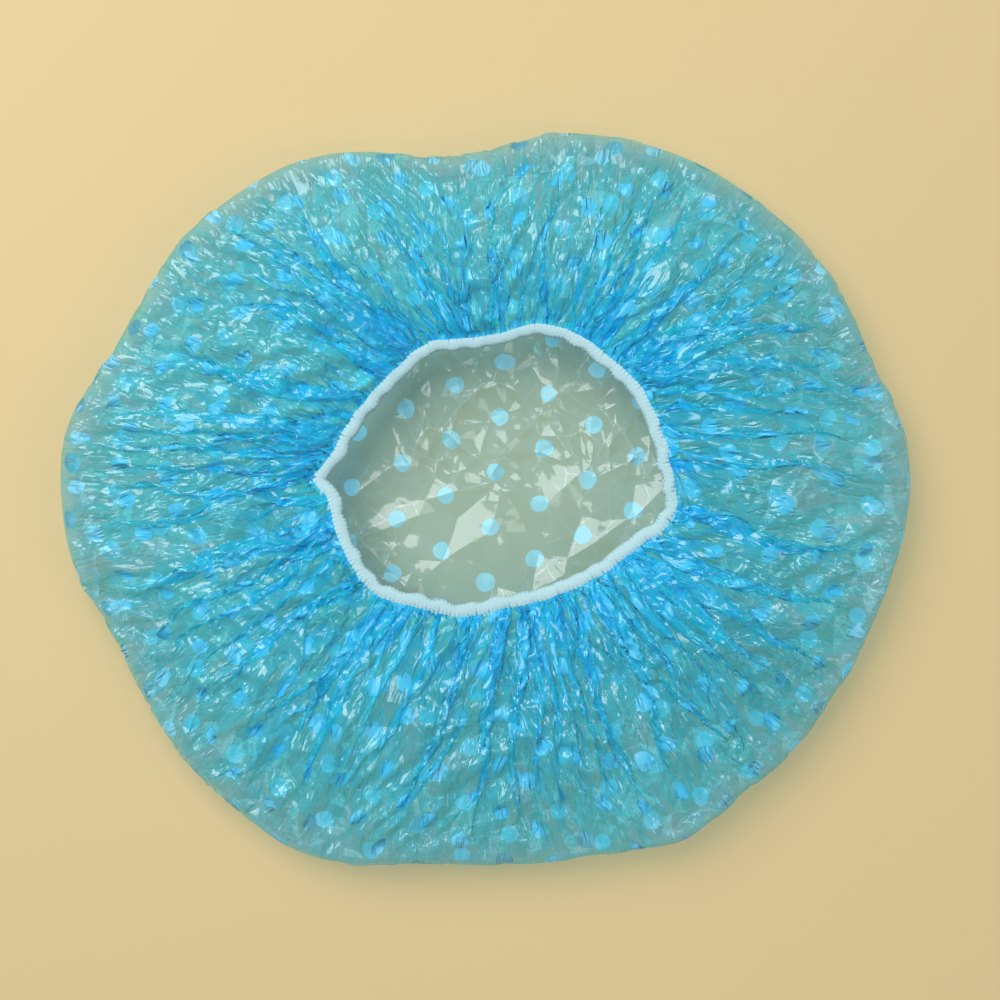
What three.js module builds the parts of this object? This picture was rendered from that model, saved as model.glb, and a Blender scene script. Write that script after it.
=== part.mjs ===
// A thin-film shower cap, lying on its crown with the gathered mouth up.
// One round sheet of film makes the crown, turns over at the rim and is gathered back to the mouth,
// where an overlock seam of three threads holds it to a narrow elastic.
// Millimetres, +Z up. The origin is on the floor, under the middle of the cap's outline.
import * as THREE from "three";

// The whole cap
const capHalfWidth = 140; // middle of the outline to the rim, left or right
const filmWall = 0.4; // thick enough to be a solid; the real film is about 0.03
const seamClearance = 0.2; // between the layers of the seam

// The rim, where the film turns over
const rimHeight = 17; // floor to the top of the turn
const rimDepth = 10; // how far the turn bulges past the flat crown
// Outline radii every 10 degrees, counterclockwise from the right, as shares of capHalfWidth
const rimShares = [
  0.996, 0.994, 0.959, 0.964, 0.957, 0.945, 0.929, 0.905, 0.875, 0.819, 0.817, 0.873,
  0.915, 0.931, 0.945, 0.936, 0.952, 1.006, 1.001, 0.987, 0.936, 0.933, 0.943, 0.938,
  0.947, 0.919, 0.873, 0.861, 0.868, 0.887, 0.931, 0.917, 0.933, 0.938, 0.952, 0.973,
];

// The mouth, along the middle of the seam
const mouthHalfWidth = 56; // middle of the mouth to the seam, left or right
const mouthRight = 4.6; // the mouth's middle lies right of the outline's
const mouthBack = 10.1; // and behind it
const mouthHeight = 20; // floor to the seam
const mouthRise = 1.8; // the seam's slow waves, up and down
// Seam radii every 15 degrees, as shares of mouthHalfWidth
const mouthShares = [
  0.966, 0.934, 0.916, 0.88, 0.875, 0.846, 0.764, 0.759, 0.816, 0.811, 0.839, 0.898,
  0.965, 0.985, 0.998, 0.998, 0.904, 0.864, 0.793, 0.782, 0.793, 0.834, 0.893, 1.021,
];
const joinAngle = THREE.MathUtils.degToRad(183); // where the seam's two ends meet
const joinReach = 4.2; // how far the join stands out as a point
const joinSpread = THREE.MathUtils.degToRad(9); // half the width of that point, seen from the mouth's middle
const joinSharpness = 1.5; // 1 is a straight-sided point, more is a hollow-sided one

// The seam's layers, in from the film's outer side
const seamWidth = 4.8;
const threadWall = 0.4; // a layer of looper thread
const elasticWidth = 3;
const elasticWall = 0.4;
const elasticLap = 8; // the elastic's ends lie over each other this far
const elasticLapGap = 0.12;
const needleThread = 0.5; // diameter
const filmBite = 4; // how far the film's edge reaches into the seam

// The gathers
const foldHeight = 2.8; // of the fine folds, at the seam
const pairHeight = 2.6; // of the folds that pairs of them run into
const lobeHeight = 2.2; // of the wide waves that reach the rim
const puffHeight = 8; // how far the gathered film stands over the line from seam to rim
const folds = 40;
const columnsPerFold = 4; // crest, side, valley, side
const columnsPerPair = 2 * columnsPerFold;
const columnsPerLobe = 5 * columnsPerFold;
const filmColumns = folds * columnsPerFold;
const columnsPerPlace = 2; // the seam's own path has a place at every second column
const pathPlaces = filmColumns / columnsPerPlace;
// The gathers are fed by hand, so their spacing wanders: how far, as shares of one place, and how often
const feedWanderShares = [0.16, 0.14];
const feedWanderCounts = [13, 29];
// No two folds have quite the same height: how far that wanders, and how often for each kind of fold
const heightWanderShare = 0.3;
const heightWanderCounts = { fine: 7, pair: 3, lobe: 2 };
// Where the rings of the gathered film lie, as shares of the way from the seam to the rim
const ringShares = [0.07, 0.16, 0.28, 0.42, 0.58, 0.78, 1];
// Heights of the three kinds of fold at those rings, as shares of their full heights
const foldShares = [1, 1, 0.75, 0.45, 0.22, 0.1, 0.04];
const pairShares = [0.1, 0.35, 0.8, 1, 0.75, 0.35, 0.1];
const lobeShares = [0, 0.1, 0.3, 0.6, 0.9, 1, 0.5];
const rimTurnDegrees = [58, 22, -22, -58, -90]; // stations round the rim, from its top
const crownRingShare = 0.5; // one more ring, half way across the crown

const up = new THREE.Vector3(0, 0, 1);

// Reads a closed table of shares at any angle, by a smooth curve through its values.
function shareAt(shares, angle) {
  const n = shares.length;
  const turn = THREE.MathUtils.euclideanModulo(angle / (2 * Math.PI), 1) * n;
  const i = Math.floor(turn) % n;
  const t = turn - Math.floor(turn);
  const [a, b, c, d] = [-1, 0, 1, 2].map((k) => shares[(i + k + n) % n]);
  const slopeIn = (c - a) / 2;
  const slopeOut = (d - b) / 2;
  const t2 = t * t;
  const t3 = t2 * t;
  return (2 * t3 - 3 * t2 + 1) * b + (t3 - 2 * t2 + t) * slopeIn
    + (3 * t2 - 2 * t3) * c + (t3 - t2) * slopeOut;
}

// Angle of place i on the seam's path. Place 0 is the join.
function placeAngle(i) {
  const turn = (2 * Math.PI) / pathPlaces;
  const wander = feedWanderShares.map((share, k) => share * Math.sin(feedWanderCounts[k] * turn * i));
  return joinAngle + turn * (i + wander[0] + wander[1]);
}

// Angle of a column of the film: those between two places lie half way.
function columnAngle(column) {
  const low = Math.floor(column / columnsPerPlace);
  return THREE.MathUtils.lerp(placeAngle(low), placeAngle(low + 1), column / columnsPerPlace - low);
}

function rimRadius(angle) {
  return capHalfWidth * shareAt(rimShares, angle);
}

// The outline is drawn from a centre of its own. This is where that centre goes so that the middle of the
// outline's extents is at the origin.
function outlineCentre() {
  const box = new THREE.Box2();
  for (let column = 0; column < filmColumns; column++) {
    const angle = columnAngle(column);
    const rim = new THREE.Vector2(Math.cos(angle), Math.sin(angle)).multiplyScalar(rimRadius(angle));
    box.expandByPoint(rim);
  }
  const middle = box.getCenter(new THREE.Vector2());
  return new THREE.Vector3(-middle.x, -middle.y, 0);
}

// The seam's radius from the mouth's middle. The join adds a point: a peak that falls off on both sides.
function seamRadius(angle) {
  const away = Math.abs(THREE.MathUtils.euclideanModulo(angle - joinAngle + Math.PI, 2 * Math.PI) - Math.PI);
  const peak = Math.max(0, 1 - away / joinSpread);
  return mouthHalfWidth * shareAt(mouthShares, angle) + joinReach * peak ** joinSharpness;
}

// The seam's middle line, as a closed polyline.
function seamPath() {
  return Array.from({ length: pathPlaces }, (_, i) => {
    const angle = placeAngle(i);
    const radius = seamRadius(angle);
    const wave = 0.6 * Math.sin(2 * angle + 0.6) + 0.4 * Math.sin(3 * angle + 2);
    return new THREE.Vector3(
      mouthRight + radius * Math.cos(angle),
      mouthBack + radius * Math.sin(angle),
      mouthHeight + mouthRise * wave,
    );
  });
}

// For each place on the closed path, the level direction that points out of the mouth, lengthened at
// corners so that a band swept along the path keeps its width.
function outwardDirections(path) {
  const n = path.length;
  const sideOf = (a, b) => new THREE.Vector3(b.y - a.y, a.x - b.x, 0).normalize();
  return path.map((point, i) => {
    const before = sideOf(path[(i + n - 1) % n], point);
    const after = sideOf(point, path[(i + 1) % n]);
    const middle = before.clone().add(after).normalize();
    return middle.divideScalar(middle.dot(after));
  });
}

const path = seamPath();
const outward = outwardDirections(path);

// The point at place i (halves allowed) that lies `out` from the seam's middle line and `rise` above it.
function seamPoint(i, out, rise) {
  const at = (k) => {
    const j = THREE.MathUtils.euclideanModulo(k, path.length);
    return path[j].clone().addScaledVector(outward[j], out).addScaledVector(up, rise);
  };
  const low = Math.floor(i);
  return at(low).lerp(at(low + 1), i - low);
}

// Heights of the seam's layers, from its middle line: lower thread, elastic, film, upper thread
const filmRise = filmWall / 2 + seamClearance;
const elasticRise = -(elasticWall + elasticLapGap / 2);
const upperThreadRise = filmRise + filmWall / 2 + seamClearance;
const lowerThreadRise = elasticRise - elasticWall - elasticLapGap - seamClearance;
const halfSeam = seamWidth / 2;
const filmExit = halfSeam + seamClearance + needleThread + seamClearance; // from here on the film rises

// Joins rings of points into one closed surface. The rings run from the first to the last, and each point
// of a ring joins the same point of the next; a closed sweep also joins its last ring to its first.
function sweep(rings, closed) {
  const n = rings[0].length;
  const positions = rings.flat().flatMap((p) => [p.x, p.y, p.z]);
  const index = [];
  const pairs = closed ? rings.length : rings.length - 1;
  for (let r = 0; r < pairs; r++) {
    const here = r * n;
    const next = ((r + 1) % rings.length) * n;
    for (let k = 0; k < n; k++) {
      const k2 = (k + 1) % n;
      index.push(here + k, next + k, next + k2, here + k, next + k2, here + k2);
    }
  }
  if (!closed) {
    const last = (rings.length - 1) * n;
    for (let k = 1; k < n - 1; k++) {
      index.push(0, k, k + 1);
      index.push(last, last + k + 1, last + k);
    }
  }
  const geometry = new THREE.BufferGeometry();
  geometry.setAttribute("position", new THREE.Float32BufferAttribute(positions, 3));
  geometry.setIndex(index);
  geometry.computeVertexNormals();
  return geometry;
}

// Sweeps a section of [out, rise] points round the whole seam.
function seamRing(section) {
  return sweep(path.map((_, i) => section.map(([out, rise]) => seamPoint(i, out, rise))), true);
}

// The looper threads lie side by side all along the seam, as one layer over it and one under it. Each also
// turns down, or up, round the film's cut edge to meet the other.
function upperLooperThread() {
  const top = upperThreadRise + threadWall;
  return seamRing([
    [-halfSeam, seamClearance / 2],
    [-halfSeam + threadWall, seamClearance / 2],
    [-halfSeam + threadWall, upperThreadRise],
    [halfSeam, upperThreadRise],
    [halfSeam, top],
    [-halfSeam, top],
  ]);
}

function lowerLooperThread() {
  const bottom = lowerThreadRise - threadWall;
  return seamRing([
    [-halfSeam, bottom],
    [halfSeam, bottom],
    [halfSeam, lowerThreadRise],
    [-halfSeam + threadWall, lowerThreadRise],
    [-halfSeam + threadWall, -seamClearance / 2],
    [-halfSeam, -seamClearance / 2],
  ]);
}

// The row of needle stitches, on the film just outside the looper threads.
function needleStitches() {
  const radius = needleThread / 2;
  const out = halfSeam + seamClearance + radius;
  const rise = filmRise + filmWall / 2 + seamClearance / 2 + radius;
  const sides = 5;
  const section = Array.from({ length: sides }, (_, k) => {
    const turn = (2 * Math.PI * k) / sides;
    return [out + radius * Math.cos(turn), rise + radius * Math.sin(turn)];
  });
  return seamRing(section);
}

// The elastic runs once round the mouth under the film. Its ends lap at the join: the first end dips and
// the last end lies over it.
function hemElastic() {
  const stepLength = path[0].distanceTo(path[1]);
  const lapSteps = Math.max(1, Math.round(elasticLap / stepLength));
  const apart = (elasticWall + elasticLapGap) / 2;
  const rings = [];
  for (let i = 0; i <= path.length + lapSteps; i++) {
    const sinceStart = Math.min(i, 2 * lapSteps);
    const toEnd = Math.min(path.length + lapSteps - i, 2 * lapSteps);
    const dip = sinceStart <= lapSteps ? 1 : 2 - sinceStart / lapSteps;
    const lift = toEnd <= lapSteps ? 1 : 2 - toEnd / lapSteps;
    const middle = elasticRise + apart * (lift - dip);
    rings.push([
      seamPoint(i, -elasticWidth / 2, middle - elasticWall / 2),
      seamPoint(i, elasticWidth / 2, middle - elasticWall / 2),
      seamPoint(i, elasticWidth / 2, middle + elasticWall / 2),
      seamPoint(i, -elasticWidth / 2, middle + elasticWall / 2),
    ]);
  }
  return sweep(rings, false);
}

// Height of the folds on one column of the film at one ring. Fine folds run together in pairs, and those
// run out into wide waves; no two have quite the same height.
function foldRise(column, ring) {
  const zigzag = (period) => 1 - 4 * Math.abs(THREE.MathUtils.euclideanModulo(column / period, 1) - 0.5);
  const wander = (count) => 1 + heightWanderShare * Math.sin((count * 2 * Math.PI * column) / filmColumns);
  const fine = foldHeight * foldShares[ring] * zigzag(columnsPerFold) * wander(heightWanderCounts.fine);
  const pair = pairHeight * pairShares[ring] * zigzag(columnsPerPair) * wander(heightWanderCounts.pair);
  const lobe = lobeHeight * lobeShares[ring] * zigzag(columnsPerLobe) * wander(heightWanderCounts.lobe);
  return fine + pair + lobe;
}

// One column of the film: its middle points from the cut edge in the seam, over the gathers, round the rim
// and in to the crown, with the direction that the wall faces where that is fixed.
function filmColumn(column, centre) {
  const i = column / columnsPerPlace;
  const angle = columnAngle(column);
  const radial = new THREE.Vector3(Math.cos(angle), Math.sin(angle), 0);
  const turnRadius = (rimHeight - filmWall) / 2;
  const rimIn = centre.clone().addScaledVector(radial, rimRadius(angle) - rimDepth);
  const exit = seamPoint(i, filmExit, filmRise);
  const points = [
    { at: seamPoint(i, halfSeam - filmBite, filmRise), faces: up },
    { at: exit, faces: up },
  ];
  ringShares.forEach((share, ring) => {
    const last = ring === ringShares.length - 1;
    const at = exit.clone().lerp(rimIn, share);
    const line = THREE.MathUtils.lerp(exit.z, rimHeight - filmWall / 2, share);
    at.z = line + puffHeight * Math.sin(Math.PI * share) + foldRise(column, ring);
    points.push({ at, faces: last ? up : null });
  });
  for (const degrees of rimTurnDegrees) {
    const turn = THREE.MathUtils.degToRad(degrees);
    const at = rimIn.clone().addScaledVector(radial, rimDepth * Math.cos(turn));
    at.z = rimHeight / 2 + turnRadius * Math.sin(turn);
    const faces = radial.clone().multiplyScalar(Math.cos(turn)).setZ(Math.sin(turn));
    points.push({ at, faces: faces.normalize() });
  }
  const inner = centre.clone().lerp(rimIn, crownRingShare).setZ(filmWall / 2);
  points.push({ at: inner, faces: up.clone().negate() });
  return points;
}

// Thickens the film: every middle point moves half a wall each way along the direction it faces. On the
// gathers that is the mean of the facets round the point, lengthened so that a fold's walls keep their
// thickness.
function filmSkins(columns) {
  const n = columns.length;
  const facing = (c, r) => {
    const here = columns[c][r];
    if (here.faces) return here.faces;
    const left = columns[(c + n - 1) % n][r].at;
    const right = columns[(c + 1) % n][r].at;
    const along = columns[c][r + 1].at.clone().sub(columns[c][r - 1].at);
    const sides = [here.at.clone().sub(left), right.clone().sub(here.at)];
    const normals = sides.map((side) => along.clone().cross(side).normalize());
    const mean = normals[0].clone().add(normals[1]).normalize();
    return mean.divideScalar(Math.max(0.5, mean.dot(normals[0])));
  };
  const skin = (offset) => columns.map((column, c) =>
    column.map((point, r) => point.at.clone().addScaledVector(facing(c, r), offset)));
  return { outer: skin(filmWall / 2), inner: skin(-filmWall / 2) };
}

// The film as one closed shell: outer skin, inner skin, and the cut edge between them in the seam.
function capFilm() {
  const centre = outlineCentre();
  const columns = Array.from({ length: filmColumns }, (_, column) => filmColumn(column, centre));
  const { outer, inner } = filmSkins(columns);
  const rings = columns[0].length;
  const positions = [];
  for (const skin of [outer, inner]) {
    for (const column of skin) {
      for (const p of column) positions.push(p.x, p.y, p.z);
    }
  }
  const index = [];
  const n = columns.length;
  const at = (skin, c, r) => (skin * n + (c % n)) * rings + r;
  const poles = [0, filmWall].map((z) => {
    positions.push(centre.x, centre.y, z);
    return positions.length / 3 - 1;
  });
  for (let c = 0; c < n; c++) {
    for (let r = 0; r < rings - 1; r++) {
      const [a, b, d, e] = [at(0, c, r), at(0, c + 1, r), at(0, c, r + 1), at(0, c + 1, r + 1)];
      index.push(a, d, e, a, e, b);
      const [p, q, s, t] = [at(1, c, r), at(1, c + 1, r), at(1, c, r + 1), at(1, c + 1, r + 1)];
      index.push(p, t, s, p, q, t);
    }
    index.push(at(0, c, rings - 1), poles[0], at(0, c + 1, rings - 1));
    index.push(at(1, c, rings - 1), at(1, c + 1, rings - 1), poles[1]);
    index.push(at(0, c, 0), at(0, c + 1, 0), at(1, c + 1, 0));
    index.push(at(0, c, 0), at(1, c + 1, 0), at(1, c, 0));
  }
  const geometry = new THREE.BufferGeometry();
  geometry.setAttribute("position", new THREE.Float32BufferAttribute(positions, 3));
  geometry.setIndex(index);
  geometry.computeVertexNormals();
  return geometry;
}

const film = new THREE.MeshStandardMaterial({
  color: 0x4fb4cf, roughness: 0.22, metalness: 0, transparent: true, opacity: 0.55,
});
const overlockThread = new THREE.MeshStandardMaterial({ color: 0xdcebee, roughness: 0.9, metalness: 0 });
const elastic = new THREE.MeshStandardMaterial({ color: 0xe6e4dc, roughness: 0.7, metalness: 0 });

function piece(name, geometry, material) {
  const mesh = new THREE.Mesh(geometry, material);
  mesh.name = name;
  return mesh;
}

const cap = new THREE.Group();
cap.add(
  piece("cap_film", capFilm(), film),
  piece("hem_elastic", hemElastic(), elastic),
  piece("upper_looper_thread", upperLooperThread(), overlockThread),
  piece("lower_looper_thread", lowerLooperThread(), overlockThread),
  piece("needle_thread", needleStitches(), overlockThread),
);

export default cap;
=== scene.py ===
# %% [markdown]
# # A shower cap of thin film
#
# The cap lies on its crown with its gathered mouth up, as it is put down after a shower. It is one
# oval sheet of film, printed with dots, and its edge is drawn in on an elastic by an overlock seam
# of three threads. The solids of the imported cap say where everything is: the rim's outline, the
# seam's path, the heights. This script reads those places from the solids and makes the film
# and the threads in full: folds, crumples, print and stitches.

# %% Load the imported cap
import bmesh
import bpy
import numpy as np
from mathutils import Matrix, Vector


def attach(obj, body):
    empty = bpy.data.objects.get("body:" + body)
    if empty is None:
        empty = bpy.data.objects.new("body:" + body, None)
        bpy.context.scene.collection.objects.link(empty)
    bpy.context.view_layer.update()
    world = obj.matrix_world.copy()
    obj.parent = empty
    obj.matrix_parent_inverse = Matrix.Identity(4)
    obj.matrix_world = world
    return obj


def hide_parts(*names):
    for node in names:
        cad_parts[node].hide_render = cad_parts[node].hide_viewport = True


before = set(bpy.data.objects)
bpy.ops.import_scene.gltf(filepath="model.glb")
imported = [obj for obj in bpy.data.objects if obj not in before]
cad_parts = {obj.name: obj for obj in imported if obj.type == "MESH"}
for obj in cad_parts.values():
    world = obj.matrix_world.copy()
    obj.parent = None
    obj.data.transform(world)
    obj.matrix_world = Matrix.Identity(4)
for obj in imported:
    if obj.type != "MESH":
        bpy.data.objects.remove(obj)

TURN = 2 * np.pi
scene = bpy.context.scene
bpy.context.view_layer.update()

# %% [markdown]
# ## The camera
#
# The photograph looks straight down on the cap. A camera that isn't turned looks down its own
# -Z with +Y up in the picture, which is just that view, so only its place and its lens are set.
# It hangs one metre above the film, and the lens follows from the width that the picture takes in.

# %% Camera, straight above
VIEW_WIDTH = 0.3263
VIEW_MIDDLE = (0.0046, -0.0003)
VIEW_DISTANCE = 1.0
FILM_LEVEL = 0.012
camera_data = bpy.data.cameras.new("camera")
camera_data.sensor_width = 36
camera_data.lens = camera_data.sensor_width * VIEW_DISTANCE / VIEW_WIDTH
camera = bpy.data.objects.new("camera", camera_data)
camera.location = (*VIEW_MIDDLE, FILM_LEVEL + VIEW_DISTANCE)
scene.collection.objects.link(camera)
scene.camera = camera
print("lens", round(camera_data.lens, 1), "mm")

# %% [markdown]
# ## Places read from the solids
#
# The film has to reach the same outline as the solid film, and the threads have to run on the same
# path as the solid threads. Both are rings of numbers, one value for each azimuth, so they are kept
# as tables that can be read at any azimuth. The table of the outline takes the farthest
# vertex in each slice of azimuth.

# %% Outline of the rim
RIM_SLICES = 90


def solid_points(name):
    """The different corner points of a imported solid, one row for each."""
    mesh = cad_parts[name].data
    points = np.empty(len(mesh.vertices) * 3)
    mesh.vertices.foreach_get("co", points)
    return np.unique(points.reshape(-1, 3).round(6), axis=0)


def plan_azimuth(points):
    """The angle of each point round the origin, seen from above."""
    return np.arctan2(points[..., 1], points[..., 0])


def plan_reach(points):
    """How far each point is from the origin, seen from above."""
    return np.hypot(points[..., 0], points[..., 1])


def farthest_each_slice(points, slices):
    """Azimuth and radius of the farthest point in each slice of azimuth round the origin."""
    azimuth, radius = plan_azimuth(points), plan_reach(points)
    which = np.floor((azimuth + np.pi) / TURN * slices).astype(int) % slices
    order = np.lexsort((radius, which))
    last = np.flatnonzero(np.append(np.diff(which[order]) > 0, True))
    return azimuth[order][last], radius[order][last]


rim_azimuth, rim_radius = farthest_each_slice(solid_points("cap_film"), RIM_SLICES)
print("rim radius", rim_radius.min().round(4), "to", rim_radius.max().round(4), "m")

# %% [markdown]
# The seam's path is made smooth from a few points, because a stitch is finer than the solid's
# facets. The curve is a cubic between each two points, and its sideways direction is the
# path's own direction turned a quarter.

# %% Closed paths
def unit(vectors):
    """Each vector divided by its length."""
    return vectors / np.linalg.norm(vectors, axis=-1, keepdims=True)


def smooth_ring(ring, turns):
    """A closed curve through the ring's points: between two points, the cubic whose slopes there
    are half the step from the point before to the point after."""
    place = turns % 1 * len(ring)
    first = np.floor(place).astype(int)
    part = (place - first)[..., None]
    before, start, end, after = (ring[(first + step) % len(ring)] for step in (-1, 0, 1, 2))
    slope_start, slope_end = (end - before) / 2, (after - start) / 2
    return ((2 * part**3 - 3 * part**2 + 1) * start + (part**3 - 2 * part**2 + part) * slope_start
            + (3 * part**2 - 2 * part**3) * end + (part**3 - part**2) * slope_end)


def step_both_ways(path):
    """For each point of a closed path, the step from the point before to the point after."""
    return np.roll(path, -1, axis=0) - np.roll(path, 1, axis=0)


def outward(path):
    """For a closed path that runs anticlockwise: its level unit normals, pointing outwards."""
    along = step_both_ways(path)
    return unit(np.stack([along[:, 1], -along[:, 0], 0 * along[:, 0]], -1))


def running_length(path):
    """The length from a closed path's first point to each point, and last the whole way round."""
    step = np.linalg.norm(np.roll(path, -1, axis=0) - path, axis=-1)
    return np.append(0, np.cumsum(step))


# %% [markdown]
# The needle thread's solid has five corners at each of its places, on a small ring round the
# thread's middle. Sorted by azimuth about the mouth's middle they fall into fives, and the mean of
# each five is a point of the thread's path. The seam's middle line runs a fixed step inward and
# down from it.

# %% Path of the seam
MOUTH_MIDDLE = np.array([0.0046, 0.0101])
NEEDLE_CORNERS = 5
NEEDLE_OUT = 0.00285
NEEDLE_RISE = 0.00095
SEAM_STEPS = 1440
needle = solid_points("needle_thread")
needle = needle[np.argsort(plan_azimuth(needle[:, :2] - MOUTH_MIDDLE))]
needle = needle.reshape(-1, NEEDLE_CORNERS, 3).mean(axis=1)
seam_ring = needle - NEEDLE_OUT * outward(needle) - [0, 0, NEEDLE_RISE]
seam_path = smooth_ring(seam_ring, np.arange(SEAM_STEPS) / SEAM_STEPS)
seam_out = outward(seam_path)
seam_azimuth = plan_azimuth(seam_path[:, :2] - MOUTH_MIDDLE)
seam_reach = plan_reach(seam_path[:, :2] - MOUTH_MIDDLE)
arc = running_length(seam_path)
print("seam", len(seam_ring), "places,", round(arc[-1], 4), "m round")


def ring_value(azimuth, at, values):
    """Reads a ring of values, known at the azimuths in at, at any azimuth."""
    return np.interp(azimuth, at, values, period=TURN)


def seam_point(azimuth, out, rise):
    """The point beside the seam's middle line at this azimuth about the mouth: out metres
    outwards and rise metres up."""
    middle = [ring_value(azimuth, seam_azimuth, seam_path[:, k]) for k in range(3)]
    level = [ring_value(azimuth, seam_azimuth, seam_out[:, k]) for k in range(2)]
    return np.stack([middle[0] + out * level[0], middle[1] + out * level[1], middle[2] + rise], -1)


# %% [markdown]
# ## The film
#
# The film is a flat oval sheet before it is sewn, and thin film hardly stretches. All the wrinkles
# follow from that: the sheet is wider than the cap, so what doesn't fit has to fold. The surface
# is therefore made by relaxing: the sheet is laid roughly into the cap's shape, and then every
# small length in it is drawn back, again and again, to the length that it has in the flat sheet.
# Cloth simulation does the same, but here the few lines of numpy are quicker, and they let the
# outline and the seam be held exactly.
#
# The sheet needs a grid without a pole, because a pole in the middle of the crown would show. A
# square grid is bent into a disc: each square ring of points becomes a round one.

# %% A square grid bent into a disc
def flat_disc(rings):
    """A square grid of 2 * rings + 1 points a side as a disc. The ring number is the larger of
    the two distances, in rows and in columns, from the middle point, and the azimuth grows evenly
    along each of the ring's four sides. Returns each point's share of the radius and azimuth."""
    row, column = np.mgrid[-rings:rings + 1, -rings:rings + 1]
    ring = np.maximum(abs(row), abs(column))
    eighth = np.pi / 4 / np.maximum(ring, 1)
    along_rows = np.where(row >= 0, 0, np.pi) + eighth * column * np.where(row < 0, -1, 1)
    along_columns = (np.where(column >= 0, np.pi / 2, -np.pi / 2)
                     - eighth * row * np.where(column < 0, -1, 1))
    return ring / rings, np.where(abs(row) >= abs(column), along_rows, along_columns)


# %% [markdown]
# The sheet's own size isn't seen in the photograph, so it is worked out: in each direction it is as
# long as the path over the cap, out over the floor, round the rim and back up over the side to the
# seam. The crown has little film to spare, and the side has more, which is what crumples it.

# %% The sheet before it was sewn
RIM_DEPTH = 0.010
RIM_HEIGHT = 0.017
RIM_GAP = 0.0006
TURN_LENGTH = 0.0285
CROWN_SPARE = 1.01
TURN_SPARE = 1.03
SIDE_SPARE = 1.07
EDGE_OUT = -0.0012
EDGE_RISE = 0.0004
SHEET_STEPS = 360
SHEET_WAVES = 4


def level_way(azimuth):
    """The level unit vector at each azimuth."""
    return np.stack([np.cos(azimuth), np.sin(azimuth)], -1)


def crown_reach(azimuth):
    """How far the flat crown reaches at each azimuth, up to where the film begins to turn over."""
    return ring_value(azimuth, rim_azimuth, rim_radius) - RIM_GAP - RIM_DEPTH


def path_ring(steps, kept):
    """The length of the path over the cap at each azimuth: crown, turn and side, each with its
    spare. Film is cut on a smooth line, so only its first few waves round the sheet are kept."""
    azimuth = np.arange(steps) / steps * TURN - np.pi
    crown = crown_reach(azimuth)
    rim = np.concatenate([crown[:, None] * level_way(azimuth), np.full((steps, 1), RIM_HEIGHT)], -1)
    side = np.linalg.norm(seam_point(azimuth, EDGE_OUT, EDGE_RISE) - rim, axis=-1)
    waves = np.fft.rfft(crown * CROWN_SPARE + TURN_LENGTH * TURN_SPARE + side * SIDE_SPARE)
    waves[kept + 1:] = 0
    return azimuth, np.fft.irfft(waves, steps)


flat_azimuth, flat_radius = path_ring(SHEET_STEPS, SHEET_WAVES)
flat_width = np.ptp(flat_radius * np.cos(flat_azimuth))
flat_length = np.ptp(flat_radius * np.sin(flat_azimuth))

# %% [markdown]
# The rough shape lays the flat sheet along that path. Thin film turns over at the rim without a
# crease, so the turn is half an ellipse, and the side puffs up a little, as springy film does.

# %% The rough shape
PUFF = 0.008


def flat_points(share, azimuth):
    """Where the film's points lie in the flat sheet: a share of its radius out from its middle."""
    reach = share * ring_value(azimuth, flat_azimuth, flat_radius)
    return np.stack([reach * np.cos(azimuth), reach * np.sin(azimuth), 0 * share], -1)


def turned_share(reach, azimuth):
    """How far round the turn at the rim a point lies that is this far out in the flat sheet: 0
    before it, 1 after it."""
    begin = crown_reach(azimuth) * CROWN_SPARE
    return np.clip((reach - begin) / (TURN_LENGTH * TURN_SPARE), 0, 1)


def rough_shape(share, azimuth, slide=0):
    """Crown: straight out from the middle. Turn: half an ellipse, RIM_DEPTH out and
    RIM_HEIGHT up. Side: straight to the seam, lifted by a half wave of height PUFF. The length
    along the flat film decides how far along that path a point lies. slide is an angle that
    moves a point of the side round the cap. Returns the points and how far over the side each one
    is, from 0 at the rim to 1 at the film's edge."""
    sheet = ring_value(azimuth, flat_azimuth, flat_radius)
    flat = share * sheet
    crown_end = crown_reach(azimuth) * CROWN_SPARE
    out_share = np.clip(flat / crown_end, 0, 1)
    turned = turned_share(flat, azimuth)
    begun = crown_end + TURN_LENGTH * TURN_SPARE
    over = np.clip((flat - begun) / (sheet - begun), 0, 1)
    azimuth = azimuth + slide
    crown = crown_reach(azimuth)
    way = level_way(azimuth)
    seam = seam_point(azimuth, EDGE_OUT, EDGE_RISE)
    slope = (turned - 0.5) * np.pi
    out = out_share * crown + RIM_DEPTH * np.cos(slope) * (turned > 0)
    points = np.zeros(share.shape + (3,))
    points[..., :2] = out[..., None] * way
    points[..., :2] += over[..., None] * (seam[..., :2] - crown[..., None] * way)
    points[..., 2] = RIM_HEIGHT / 2 * (1 + np.sin(slope)) + over * (seam[..., 2] - RIM_HEIGHT)
    points[..., 2] += PUFF * np.sin(np.pi * over)
    return points, over


# %% [markdown]
# Where the spare film goes is decided by small waves laid into the rough shape: a few wide waves
# that run out from the seam, and crumples in every direction. The relaxing makes real folds of
# them. A wave whose spacing wanders looks handmade; an even one looks like machine pleating.

# %% Waves that decide where the film folds
WANDER = 1.1
WIDE_WAVES = 17
WIDE_WAVE_HEIGHT = 0.0015
WIDE_WAVE_END = 0.8


def random_waves(azimuth, seed, sizes):
    """Adds up sine waves round the cap. sizes holds each one's cycles and size: its height is
    the size times a normal random number, and its start is random too."""
    draw = np.random.default_rng(seed)
    return sum(size * draw.normal(0, 1) * np.sin(cycles * azimuth + draw.uniform(0, TURN))
               for cycles, size in sizes)


def wandering_phase(azimuth, cycles, seed, terms):
    """cycles turns of phase once round, plus a few slow sine waves that crowd it and spread it."""
    slow = random_waves(azimuth, seed, [(term, WANDER) for term in range(2, 2 + terms)])
    return cycles * azimuth + slow


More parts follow.
